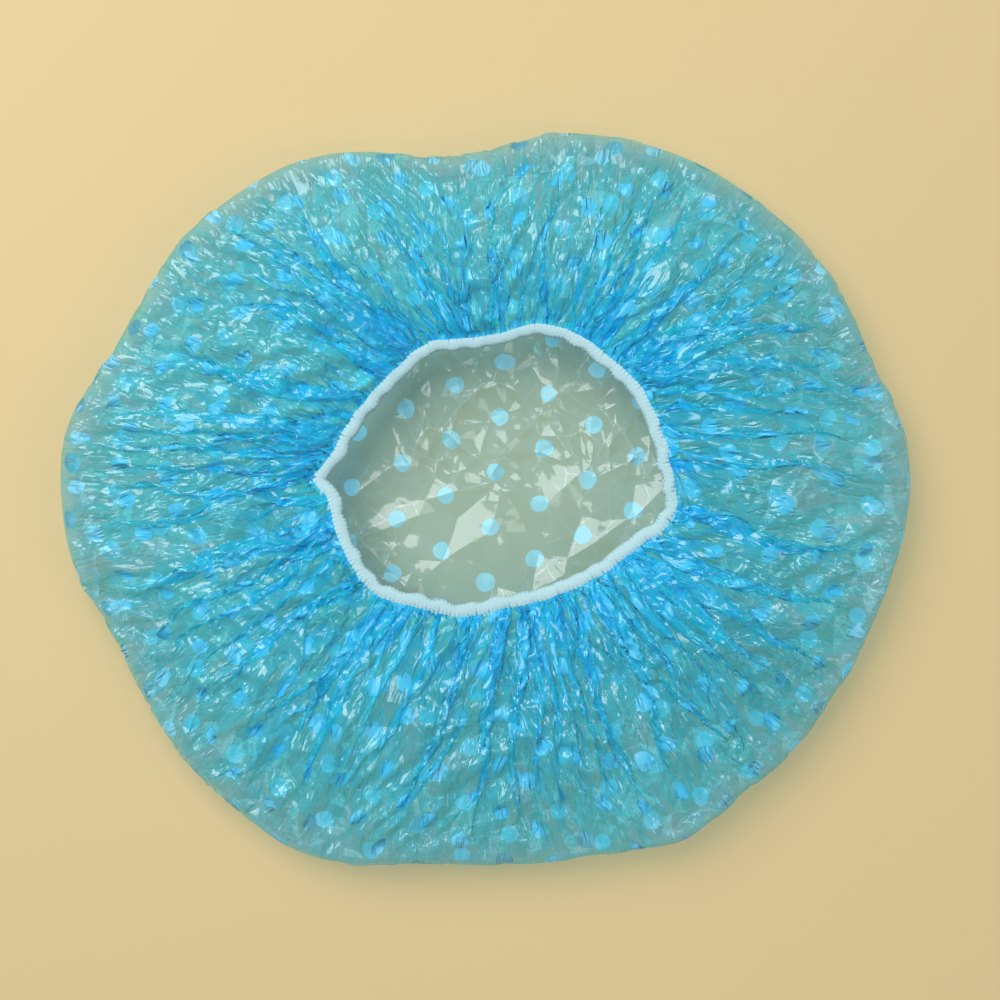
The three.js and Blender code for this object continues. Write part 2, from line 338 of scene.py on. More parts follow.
def wide_waves(over, azimuth):
    """Wandering sine waves round the cap. They fade in from the rim over a fifth of the side, and
    out over a seventh of it before WIDE_WAVE_END."""
    fade = np.clip(over * 5, 0, 1) * np.clip((WIDE_WAVE_END - over) * 7, 0, 1)
    return WIDE_WAVE_HEIGHT * fade * np.sin(wandering_phase(azimuth, WIDE_WAVES, seed=5, terms=3))


def zigzag(phase):
    """A triangle wave of period 1 between -1 and 1."""
    return 4 * np.abs(phase - np.floor(phase + 0.5)) - 1


def crumple(flat, size, seed, count=5):
    """Zigzag waves in count directions, about size metres long, each bent by sine waves and faded
    in and out in patches, and added up."""
    draw = np.random.default_rng(seed)
    total = np.zeros(flat.shape[:-1])
    for number in range(count):
        angle = np.pi * (number + draw.uniform(-0.3, 0.3)) / count
        length = size * draw.uniform(0.7, 1.6)
        across = (flat[..., 0] * np.cos(angle) + flat[..., 1] * np.sin(angle)) / length
        along = (flat[..., 1] * np.cos(angle) - flat[..., 0] * np.sin(angle)) / length
        bend = (0.35 * np.sin(1.7 * along + draw.uniform(0, 6))
                + 0.25 * np.sin(2.9 * along + 1.3 * across + draw.uniform(0, 6)))
        patch = 0.5 + 0.9 * (np.sin(0.9 * along + draw.uniform(0, 6))
                             * np.sin(0.7 * across + draw.uniform(0, 6)))
        total += np.clip(patch, 0, 1) * zigzag(across + bend)
    return total / count**0.5


# %% [markdown]
# The relaxing goes through the links between neighbouring points in eight sets: along rows, along
# columns and along both diagonals, each in two halves that share no point, so a whole set can be
# moved at once. Numpy then needs no loop over the points.

# %% Links that keep their length
STIFFNESS = 0.9
TINY = 1e-9


def neighbour_sets(size):
    """Slices that pick both ends of every row, column and diagonal link, in eight sets."""
    every, head, tail = slice(None), slice(0, -1), slice(1, None)
    for parity in (0, 1):
        lower, upper = slice(parity, size - 1, 2), slice(parity + 1, size, 2)
        yield (lower, every), (upper, every)
        yield (every, lower), (every, upper)
        yield (lower, head), (upper, tail)
        yield (lower, tail), (upper, head)


def make_links(flat, free):
    """For each set: both ends, the lengths in the flat sheet, and each end's share of a
    correction. That is a half, but a held end takes nothing and its neighbour all."""
    links = []
    for one, other in neighbour_sets(len(flat)):
        length = np.linalg.norm(flat[one] - flat[other], axis=-1)
        moving = np.maximum(free[one] + free[other], 1)
        links.append((one, other, length, (free[one] / moving)[..., None],
                      (free[other] / moving)[..., None]))
    return links


def draw_links(points, links):
    """Moves both ends of each link along it by STIFFNESS times what it is too long or short."""
    for one, other, length, share_one, share_other in links:
        step = points[other] - points[one]
        far = np.sqrt((step * step).sum(-1)) + TINY
        step *= (STIFFNESS * (far - length) / far)[..., None]
        points[one] += share_one * step
        points[other] -= share_other * step


# %% [markdown]
# After each round the film is bent a little back towards its smooth rough shape, and is
# kept off the floor and inside the rim's outline. A ring of film at the rim is pushed out to that
# outline, as the springy film does by itself.

# %% What holds the film in its place
ROUNDS = 15
FLOOR_GAP = 0.0002
CROWN_MIDDLE = 0.095
CROWN_HIGHEST = 0.006
TURN_HIGHEST = 0.020
SIDE_LOWEST = 0.006
SIDE_HIGHEST = 0.033
LEEWAY_RIM = 0.0045
LEEWAY_SEAM = 0.0014
SEAM_KEEP = 0.0028
RIM_PUSH = 0.25
RIM_PUSH_GAP = 0.001
RIM_PUSHED_PART = 0.3


def soften(points, rough, free, softness):
    """Moves each point's distance from the rough shape a little towards the mean of its four
    neighbours' distances."""
    moved = points - rough
    mean = moved.copy()
    mean[1:-1, 1:-1] = (moved[2:, 1:-1] + moved[:-2, 1:-1]
                        + moved[1:-1, 2:] + moved[1:-1, :-2]) / 4
    points += softness * free[..., None] * (mean - moved)


def hold_in_rim(points, pushed):
    """Draws points in that are past the rim, whose profile is half an ellipse, and pushes the
    ring at the rim out by a share of what it is short of the outline."""
    radius = plan_reach(points) + TINY
    outline = ring_value(plan_azimuth(points), rim_azimuth, rim_radius)
    height = np.clip(points[..., 2] / RIM_HEIGHT * 2 - 1, -1, 1)
    limit = outline - RIM_DEPTH * (1 - np.sqrt(1 - height**2))
    short = np.maximum(outline - RIM_PUSH_GAP - radius, 0)
    wanted = np.where(pushed, radius + RIM_PUSH * short, radius)
    points[..., :2] *= (np.minimum(wanted, limit) / radius)[..., None]


def hold_off_seam(points, kept_off):
    """Moves points out that are nearer the mouth's middle than SEAM_KEEP outside the seam."""
    aside = points[..., :2] - MOUTH_MIDDLE
    reach = plan_reach(aside) + TINY
    nearest = ring_value(plan_azimuth(aside), seam_azimuth, seam_reach) + SEAM_KEEP
    further = np.where(kept_off & (reach < nearest), nearest / reach - 1, 0)
    points[..., :2] += further[..., None] * aside


# %% [markdown]
# One round does all this in turn, and a dozen or so rounds are enough, because the rough shape is
# already near. Fully relaxed film would be as smooth as a tight balloon; the part that is left
# unrelaxed is the crumple.

# %% Relaxing
def relax(points, flat, rough, over, free, softness):
    """ROUNDS times: draws the links to their lengths, softens, holds the film in plan, and
    clips its height. On the side it stays within a leeway of the rough shape, which narrows
    towards the seam; the crown and the turn stay between the floor and a highest level."""
    links = make_links(flat, free)
    side = over > 0
    leeway = LEEWAY_RIM + (LEEWAY_SEAM - LEEWAY_RIM) * over
    lowest = np.where(side, np.maximum(rough[..., 2] - leeway, SIDE_LOWEST), FLOOR_GAP)
    highest = np.where(plan_reach(flat) < CROWN_MIDDLE, CROWN_HIGHEST, TURN_HIGHEST)
    highest = np.where(side, np.minimum(rough[..., 2] + leeway, SIDE_HIGHEST), highest)
    pushed = (abs(rough[..., 2] - RIM_HEIGHT / 2) < RIM_HEIGHT * RIM_PUSHED_PART) & ~side
    for _ in range(ROUNDS):
        draw_links(points, links)
        soften(points, rough, free, softness)
        hold_in_rim(points, pushed)
        hold_off_seam(points, side & (free > 0))
        inside = np.clip(points[..., 2], lowest, highest)
        points[..., 2] = np.where(free > 0, inside, points[..., 2])
    return points


# %% [markdown]
# At the seam the film lies in small flat folds, one on the other, that the stitches hold. They
# are made by shifting the film to and fro round the cap: where the shift runs back against the
# azimuth, the film doubles over. Three sizes of fold begin one after the other, so that wide folds
# near the rim break up into fine ones at the seam, and none of them is quite like the next.

# %% Folds laid over each other
# For each size: how many there are round, random seed, slow waves in their spacing, strength,
# where over the side they begin, how steeply they grow, and what is left of them at the seam.
FOLDS = ((58, 21, 12, 3.0, 0.12, 0.6, 0.5), (104, 33, 14, 4.0, 0.3, 0.8, 0.8),
         (170, 9, 16, 5.0, 0.5, 1.0, 1.0))
STRAY = 0.035
UNEVEN = 0.22
UNEVEN_CYCLES = range(2, 10)
SLOWEST = 0.4
SLOPE_STEP = 0.001
BUNCH = 0.15
BUNCH_CYCLES = range(3, 12)
SLIDE_TO_LIFT = 8.0
SEAM_LIFT = 0.03


def bunching(azimuth):
    """How far the film has slid along the seam: slow sine waves, so that it is crowded in some
    places and spread in others."""
    return random_waves(azimuth, 4, [(cycles, BUNCH / cycles) for cycles in BUNCH_CYCLES])


def folding(over, azimuth):
    """The slide that lays the side in folds: three sizes of wave to and fro, whose lines stray a
    little on their way. Each wave is as wide as its phase is slow there, and its strength grows
    towards the seam, in some places sooner than in others: from a strength of 1 the film runs
    back, and doubles over."""
    even = len(UNEVEN_CYCLES)**-0.5
    sooner = random_waves(azimuth, 12, [(cycles, even) for cycles in UNEVEN_CYCLES])
    begun = over + UNEVEN * sooner * np.sin(np.pi * over)
    slide = 0
    for cycles, seed, terms, strength, begin, power, left in FOLDS:
        stray = STRAY * np.sin(4.5 * over + 5 * azimuth + seed) * np.sin(3 * over + 9 * azimuth)
        phase = wandering_phase(azimuth + stray, cycles, seed, terms)
        ahead = wandering_phase(azimuth + stray + SLOPE_STEP, cycles, seed, terms)
        pace = np.maximum((ahead - phase) / SLOPE_STEP, cycles * SLOWEST)
        grown = strength * np.clip((begun - begin) / (1 - begin), 0, 1) ** power
        grown = grown * (1 - (1 - left) * np.clip(over * 2 - 1, 0, 1))
        slide = slide + grown * np.sin(phase) / pace
    return slide


def folded_shape(share, azimuth):
    """The rough shape with its side laid in folds. The lift is a fixed share of the slide, so each
    layer lies clear of the next and none can cut through another. Over the last part, the stitches
    press it down to SEAM_LIFT of that."""
    _, over = rough_shape(share, azimuth)
    slide = folding(over, azimuth)
    points, over = rough_shape(share, azimuth, over * bunching(azimuth) + slide)
    lift = slide * plan_reach(points) / SLIDE_TO_LIFT
    points[..., 2] += lift * (1 - (1 - SEAM_LIFT) * np.clip(over * 10 - 8.5, 0, 1))
    return points, over


# %% [markdown]
# The relaxing starts on a coarse grid, which is quick and settles the large folds, and ends on one
# that is twice as fine. The outermost rings of the sheet are held where the seam holds them.

# %% The relaxed film
COARSE_RINGS = 74
COARSE_HELD = 0.9
COARSE_SOFTNESS = 0.02
COARSE_CRUMPLES = ((0.0012, 0.030, 5), (0.0010, 0.017, 6))
FINE_HELD = 2.2
FINE_SOFTNESS = 0.008
FINE_CRUMPLE = (0.0006, 0.010, 168)


def film_grid(rings, held):
    """A disc of rings: azimuths, flat points, the bunched rough shape, the folded shape, how
    far over the side each point is, and 1 for a free point or 0 for one that the seam holds."""
    share, azimuth = flat_disc(rings)
    folded, over = folded_shape(share, azimuth)
    rough, _ = rough_shape(share, azimuth, over * bunching(azimuth))
    free = np.where(share > 1 - held / rings, 0.0, 1.0)
    return azimuth, flat_points(share, azimuth), rough, folded, over, free


def twice_as_fine(grid):
    """Puts a new point halfway between each two neighbours of a grid."""
    size = len(grid)
    fine = np.zeros((2 * size - 1, 2 * size - 1, grid.shape[-1]))
    fine[::2, ::2] = grid
    fine[1::2, ::2] = (grid[1:] + grid[:-1]) / 2
    fine[:, 1::2] = (fine[:, 2::2] + fine[:, :-2:2]) / 2
    return fine


def coarse_film():
    """The folded shape, with the wide waves and the crumples added to its height, relaxed."""
    azimuth, flat, rough, points, over, free = film_grid(COARSE_RINGS, COARSE_HELD)
    points[..., 2] += wide_waves(over, azimuth)
    for height, size, seed in COARSE_CRUMPLES:
        points[..., 2] += height * crumple(flat, size, seed)
    return relax(points, flat, rough, over, free, COARSE_SOFTNESS)


def fine_film(coarse):
    """The coarse film with its grid made finer, small crumples added that fade towards the seam,
    and the held points put in their places, relaxed again. Returns the film's points, its flat
    points and how far over the side each one is."""
    _, flat, rough, folded, over, free = film_grid(2 * COARSE_RINGS, FINE_HELD)
    height, size, seed = FINE_CRUMPLE
    points = twice_as_fine(coarse)
    points[..., 2] += height * (1 - over) * crumple(flat, size, seed)
    points[free == 0] = folded[free == 0]
    return relax(points, flat, rough, over, free, FINE_SOFTNESS), flat, over


film_points, film_flat, film_over = fine_film(coarse_film())
print("film", film_points.shape, "highest", film_points[..., 2].max().round(4), "m")

# %% [markdown]
# From above, gathered film looks deeper in colour, because the eye looks through many layers. How
# many is known: the area of film in each small patch, over the area that the patch takes up in
# plan. From that each point gets one value, 0 where the film lies single and 1 where it is packed
# at the seam, and the material reads it.

# %% How closely the film is gathered
PATCH_ROUNDS = 12
GATHER_ROUNDS = 6
GATHER_LEAST = 0.09
GATHER_OVER = 0.42
LOOSE_LAYERS = 1.2
PACKED_LAYERS = 2.7
GATHER_TURN = 0.014


def plan_area(points):
    """The area in plan of each cell of the grid, from its two diagonals."""
    one = points[1:, 1:] - points[:-1, :-1]
    other = points[:-1, 1:] - points[1:, :-1]
    return abs(one[..., 0] * other[..., 1] - one[..., 1] * other[..., 0]) / 2


def spread(values, times):
    """Takes the mean of each value, counted four times, with its four neighbours, times over."""
    for _ in range(times):
        edged = np.pad(values, 1, mode="edge")
        values = (edged[1:-1, 1:-1] * 4 + edged[2:, 1:-1] + edged[:-2, 1:-1]
                  + edged[1:-1, 2:] + edged[1:-1, :-2]) / 8
    return values


def patch_area(points):
    """The plan area of the grid's cells near each point, as a mean over a few cells."""
    return np.pad(spread(plan_area(points), PATCH_ROUNDS), ((0, 1), (0, 1)), mode="edge")


def gathered(layers, flat, over):
    """GATHER_LEAST, plus GATHER_OVER times the square of how far over the side, plus the layers
    past LOOSE_LAYERS over PACKED_LAYERS. It fades in over the last part of the turn at the rim and
    the first fifth of the side, so the flat rim stays pale; the turn itself adds GATHER_TURN."""
    turned = turned_share(plan_reach(flat), plan_azimuth(flat))
    gather = GATHER_LEAST + GATHER_OVER * over**2 + (layers - LOOSE_LAYERS) / PACKED_LAYERS
    gather *= np.clip(2.3 * turned - 1.3, 0, 1) * (0.5 + 0.5 * np.clip(over / 0.2, 0, 1))
    return spread(np.clip(gather + GATHER_TURN * turned, 0, 1), GATHER_ROUNDS)


film_layers = patch_area(film_flat) / np.maximum(patch_area(film_points), TINY)
film_gather = gathered(film_layers, film_flat, film_over)
print("layers of film:", np.percentile(film_layers, (5, 50, 95)).round(2))

# %% [markdown]
# Film and threads are all grids of points, the film as a sheet and each thread as a closed tube, so
# one helper makes every mesh. Its UV map holds places on the real surface in metres, which lets the
# materials give their patterns real sizes.

# %% Meshes from grids of points
def grid_mesh(name, points, uv, closed=(False, False), flip=False):
    """A mesh whose faces are the cells of a grid. uv gives each corner's place on the surface from
    its row and column numbers. A closed direction joins its last row to its first."""
    rows, columns = points.shape[:2]
    row, column = np.mgrid[:rows - (not closed[0]), :columns - (not closed[1])]
    steps = ((0, 0), (0, 1), (1, 1), (1, 0)) if flip else ((0, 0), (1, 0), (1, 1), (0, 1))
    corners = np.stack([(row + a) % rows * columns + (column + b) % columns for a, b in steps], -1)
    mesh = bpy.data.meshes.new(name)
    mesh.from_pydata(points.reshape(-1, 3).tolist(), [], corners.reshape(-1, 4).tolist())
    places = np.stack([uv(row + a, column + b) for a, b in steps], 2)
    mesh.uv_layers.new(name="surface").uv.foreach_set("vector", places.reshape(-1).astype("f"))
    mesh.polygons.foreach_set("use_smooth", np.ones(len(mesh.polygons), bool))
    mesh.update()
    piece = bpy.data.objects.new(name, mesh)
    scene.collection.objects.link(piece)
    return piece


film = grid_mesh("film_sheet", film_points, lambda a, b: film_flat[a, b, :2], flip=True)
gather_values = film.data.attributes.new("gather", "FLOAT", "POINT").data
gather_values.foreach_set("value", film_gather.reshape(-1))
print("film_sheet", len(film.data.polygons), "faces")

# %% [markdown]
# ## Node helpers
#
# The materials are short sums of nodes. These helpers keep them readable: each adds one node, feeds
# it numbers or other nodes' outputs, and returns what comes out.

# %% Helpers for nodes and sums
def feed(tree, socket, value):
    """Links an output into the socket, or writes a plain value into it."""
    if isinstance(value, bpy.types.NodeSocket):
        tree.links.new(value, socket)
    else:
        socket.default_value = value


def new_node(tree, kind, inputs, **settings):
    """Adds a node, sets its settings, and feeds its inputs, which go by name or by number."""
    made = tree.nodes.new(kind)
    for setting, value in settings.items():
        setattr(made, setting, value)
    for key, value in dict(inputs).items():
        feed(tree, made.inputs[key], value)
    return made


def maths(tree, operation, *values, clamp=False):
    """The result of one operation on numbers, held between 0 and 1 where clamp is set."""
    made = new_node(tree, "ShaderNodeMath", enumerate(values), operation=operation, use_clamp=clamp)
    return made.outputs[0]


def vectors(tree, operation, *values):
    """The result of one operation on vectors: a number for a length, else a vector."""
    made = new_node(tree, "ShaderNodeVectorMath", enumerate(values), operation=operation)
    return made.outputs["Value" if operation == "LENGTH" else "Vector"]


# %% Helpers for colour, noise and bump
def mixed(tree, share, one, other):
    """A colour between two colours."""
    inputs = {0: share, 6: one, 7: other}
    return new_node(tree, "ShaderNodeMix", inputs, data_type="RGBA").outputs[2]


def channels(tree, colour):
    """The red, green and blue of a colour."""
    return new_node(tree, "ShaderNodeSeparateColor", {0: colour}).outputs[:3]


def noise(tree, where, size, detail):
    """Noise with blobs of about size metres; gives its value, 0 to 1."""
    inputs = {"Vector": where, "Scale": 1 / size, "Detail": detail}
    return new_node(tree, "ShaderNodeTexNoise", inputs).outputs["Fac"]


def bumped(tree, height):
    """The surface's normal, bent as a relief of this height in metres bends it."""
    inputs = {"Height": height, "Strength": 1, "Distance": 1}
    return new_node(tree, "ShaderNodeBump", inputs).outputs[0]


def surface_place(tree):
    """The place on the real surface that the UV map holds, in metres."""
    return new_node(tree, "ShaderNodeUVMap", {}, uv_map="surface").outputs["UV"]


# %% Helpers for materials
def linear(red, green, blue):
    """A colour as seen on a screen, 0 to 255, as the linear colour that Blender's sockets take."""
    parts = np.array([red, green, blue]) / 255
    parts = np.where(parts < 0.04045, parts / 12.92, ((parts + 0.055) / 1.055) ** 2.4)
    return (*parts.tolist(), 1.0)


def new_material(name):
    """A new material, its node tree and its Principled shader."""
    material = bpy.data.materials.new(name)
    material.use_nodes = True
    tree = material.node_tree
    return material, tree, tree.nodes["Principled BSDF"]


# %% [markdown]
# ## The film's look
#
# The dots are printed on the flat film, so they are drawn in the flat film's own coordinates, and
# the folds carry them along. They stand in staggered rows: two lattices, the second set halfway
# between the points of the first.

# %% Dots printed on the flat film
DOT_RADIUS = 0.00295
DOT_PITCH = (0.0312, 0.01845)
DOT_TURN = np.radians(5)
DOT_ORIGIN = (0.0029, 0.0091)
DOT_EDGE = 0.0002


def dot_mask(tree, flat):
    """1 inside a printed dot: the dot's radius less the distance to the nearest point of either
    lattice, over the width of the dot's soft edge, plus a half."""
    moved = vectors(tree, "SUBTRACT", flat, (*DOT_ORIGIN, 0))
    inputs = {"Vector": moved, "Angle": DOT_TURN}
    turned = new_node(tree, "ShaderNodeVectorRotate", inputs, rotation_type="Z_AXIS").outputs[0]
    cell = (*DOT_PITCH, 1)
    nearest = []
    for shift in ((0.5, 0.5, 0), (1.0, 1.0, 0)):
        place = vectors(tree, "ADD", vectors(tree, "DIVIDE", turned, cell), shift)
        place = vectors(tree, "SUBTRACT", vectors(tree, "FRACTION", place), (0.5, 0.5, 0))
        nearest.append(vectors(tree, "LENGTH", vectors(tree, "MULTIPLY", place, cell)))
    edge = maths(tree, "SUBTRACT", DOT_RADIUS, maths(tree, "MINIMUM", *nearest))
    return maths(tree, "MULTIPLY_ADD", edge, 1 / DOT_EDGE, 0.5, clamp=True)


# %% [markdown]
# Between the folds that the mesh holds, film is crushed into flat facets a few millimetres across,
# too fine for the mesh. The distance to the nearest border of Voronoi cells is a surface of just
# such facets: it rises evenly from each border and meets in sharp ridges. Three sizes of it, bent
# a little by noise, make the bump.

# %% Crushed facets for the bump
# Each size of cell in metres, with the slope of its facets.
LARGE, MIDDLE, THIN = (0.021, 0.30), (0.008, 0.34), (0.0060, 0.2)
BEND_SIZE = 0.040
BEND = 0.010
LARGE_CREASE = 0.02
MIDDLE_CREASE = 0.04


def film_noise(tree, flat, size):
    """Smooth noise in the film's plane: its three colour channels are three different noises."""
    inputs = {"Vector": flat, "Scale": 1 / size, "Detail": 0}
    return new_node(tree, "ShaderNodeTexNoise", inputs, noise_dimensions="2D").outputs["Color"]


def cell_border(tree, flat, size):
    """How far each place is from the nearest border of Voronoi cells of this size, in cells."""
    cells = new_node(tree, "ShaderNodeTexVoronoi", {"Vector": flat, "Scale": 1 / size},
                     voronoi_dimensions="2D", feature="DISTANCE_TO_EDGE")
    return cells.outputs["Distance"]


def raised(tree, border, cell, height):
    """Adds facets to a height: the distance to the border, in cells, times size and slope."""
    return maths(tree, "MULTIPLY_ADD", border, cell[0] * cell[1], height)


def crushed(tree, flat):
    """Adds up the facets of three sizes of cell. The smaller sizes come in patches. Returns the
    height in metres and a mask of the creases along the borders of the two larger sizes."""
    wave = film_noise(tree, flat, BEND_SIZE)
    _, green, blue = channels(tree, wave)
    centred = vectors(tree, "SUBTRACT", wave, (0.5, 0.5, 0.5))
    bent = vectors(tree, "MULTIPLY_ADD", centred, (BEND, BEND, 0), flat)
    patch = maths(tree, "MULTIPLY_ADD", blue, 9.0, -3.9, clamp=True)
    other = maths(tree, "MULTIPLY_ADD", green, 9.0, -4.1, clamp=True)
    large, middle = (cell_border(tree, bent, cell[0]) for cell in (LARGE, MIDDLE))
    thin = cell_border(tree, vectors(tree, "MULTIPLY", bent, (1.0, 0.4, 0)), THIN[0])
    thin = maths(tree, "MULTIPLY", thin, maths(tree, "MULTIPLY", other, patch))
    height = raised(tree, large, LARGE, 0.0)
    height = raised(tree, maths(tree, "MULTIPLY", middle, patch), MIDDLE, height)
    height = raised(tree, thin, THIN, height)
    wide = maths(tree, "MULTIPLY_ADD", large, -1 / LARGE_CREASE, 1.0, clamp=True)
    fine = maths(tree, "MULTIPLY_ADD", middle, -1 / MIDDLE_CREASE, 1.0, clamp=True)
    return height, maths(tree, "MAXIMUM", maths(tree, "MULTIPLY", wide, patch),
                         maths(tree, "MULTIPLY", fine, other))


# %% [markdown]
# The gathered side is drawn into strips that run from the rim to the seam, finer than the folds of
# the mesh. Some lie between two folds and are packed with more film, a deeper blue. Others are
# painted pale cyan, a painted highlight for strips that turn their face to the lamp. Sharp lines
# run along them where the film is drawn tight. Voronoi cells and noise both become strips in a
# plane that is stretched round the cap.

# %% Strips and sharp lines of the gathered side
PLEATS_ROUND = 45
PLEAT_LENGTH = 0.010
STREAK_SIZE = 0.75


def pleats(tree, flat):
    """The plane is the flat film with its middle pushed open: each point keeps its direction,
    and its distance becomes PLEATS_ROUND plus one for each PLEAT_LENGTH. Returns a random value
    for each strip, its height, which is 1 less the distance to its middle, and the sharp lines:
    how far one noise is from its mean, where another noise lets lines be."""
    far = maths(tree, "MULTIPLY_ADD", vectors(tree, "LENGTH", flat), 1 / PLEAT_LENGTH, PLEATS_ROUND)
    inputs = {0: vectors(tree, "NORMALIZE", flat), "Scale": far}
    plane = new_node(tree, "ShaderNodeVectorMath", inputs, operation="SCALE").outputs[0]
    cells = new_node(tree, "ShaderNodeTexVoronoi", {"Vector": plane, "Scale": 1},
                     voronoi_dimensions="2D")
    red, green, _ = channels(tree, film_noise(tree, plane, STREAK_SIZE))
    sharp = maths(tree, "ABSOLUTE", maths(tree, "SUBTRACT", red, 0.5))
    there = maths(tree, "MULTIPLY_ADD", green, 8.0, -3.6, clamp=True)
    return (channels(tree, cells.outputs["Color"])[0],
            maths(tree, "SUBTRACT", 1.0, cells.outputs["Distance"]),
            maths(tree, "MULTIPLY", sharp, there))


# %% [markdown]
# The film is clear plastic with a little blue in it, so one layer hardly tints the floor, and many
# layers add up to a deep blue. A layer here is a mix of two shaders: clear film, which lets the
# floor through with a tint, and hazy film, whose surface the lamps light. COVER is the hazy share.
# The mesh's own layers add up by themselves; for those too fine for the mesh, the gather value
# runs each colour from its first stop to its last. Light that falls through is tinted less, from
# the first colour of PASSED to its second. One alpha value could not do all that.

# %% Colours of the film
def grey(value):
    """A share from 0 to 1 as a colour."""
    return (value, value, value, 1)


# The first four are rows of stops: a place from loose film to packed film, and the colour there.
HAZE = (0.0, linear(116, 206, 255)), (0.12, linear(24, 218, 255)), (1.0, linear(0, 192, 255))
INK = (0.0, linear(158, 236, 255)), (0.1, linear(80, 208, 255)), (1.0, linear(30, 205, 255))
CLEAR = (0.0, (0.74, 0.95, 1.0, 1)), (0.12, (0.48, 0.98, 1.0, 1)), (1.0, (0.26, 0.97, 1.0, 1))
COVER = (0.0, grey(0.22)), (0.12, grey(0.33)), (1.0, grey(0.62))
PASSED = (0.70, 0.78, 0.82, 1), (0.60, 0.74, 0.80, 1)
# A painted highlight: the pale cyan given to gathered strips, standing for strips that face the
# lamp.
PAINTED_HIGHLIGHT = linear(60, 236, 255)
# Creases are painted this pale colour, partly as whitened film and partly as a painted highlight
# along their ridges.
CREASE_PALE_AND_HIGHLIGHT = linear(225, 245, 245)
SHEEN = (0.55, 0.95, 1.0, 1)
INK_COVER = 0.82
DOT_CRUMPLE = (0.007, 0.0014)
RIDGE_HEIGHT = 0.0005
STREAK_DEPTH = 0.0022


def ramp(tree, share, *stops):
    """A colour that runs through the stops, each a place from 0 to 1 and a linear colour."""
    node = new_node(tree, "ShaderNodeValToRGB", {0: share})
    elements = node.color_ramp.elements
    while len(elements) < len(stops):
        elements.new(0.5)
    for element, (place, colour) in zip(elements, stops):
        element.position = place
        element.color = colour
    return node.outputs[0]


def clear_film(tree, tint):
    """A shader that lets everything behind it through, in this tint."""
    return new_node(tree, "ShaderNodeBsdfTransparent", {"Color": tint}).outputs[0]


def shaders(tree, share, one, other):
    """The first shader, and the share of the second that takes its place."""
    return new_node(tree, "ShaderNodeMixShader", {0: share, 1: one, 2: other}).outputs[0]


# %% Relief of the film
def film_relief(tree, close, height, ridge, streak):
    """The crushed facets, calmer where the film is gathered, plus the strips' ridges, which rise
    with the gather, less the sharp lines, which come in with the first bit of it."""
    calm = maths(tree, "MULTIPLY_ADD", close, -0.8, 1.0)
    fold = maths(tree, "MULTIPLY", close, maths(tree, "MULTIPLY", ridge, RIDGE_HEIGHT))
    drawn = maths(tree, "MULTIPLY", close, 40.0, clamp=True)
    line = maths(tree, "MULTIPLY", drawn, streak)
    fold = maths(tree, "MULTIPLY_ADD", line, -STREAK_DEPTH, fold)
    return bumped(tree, maths(tree, "MULTIPLY_ADD", height, calm, fold))


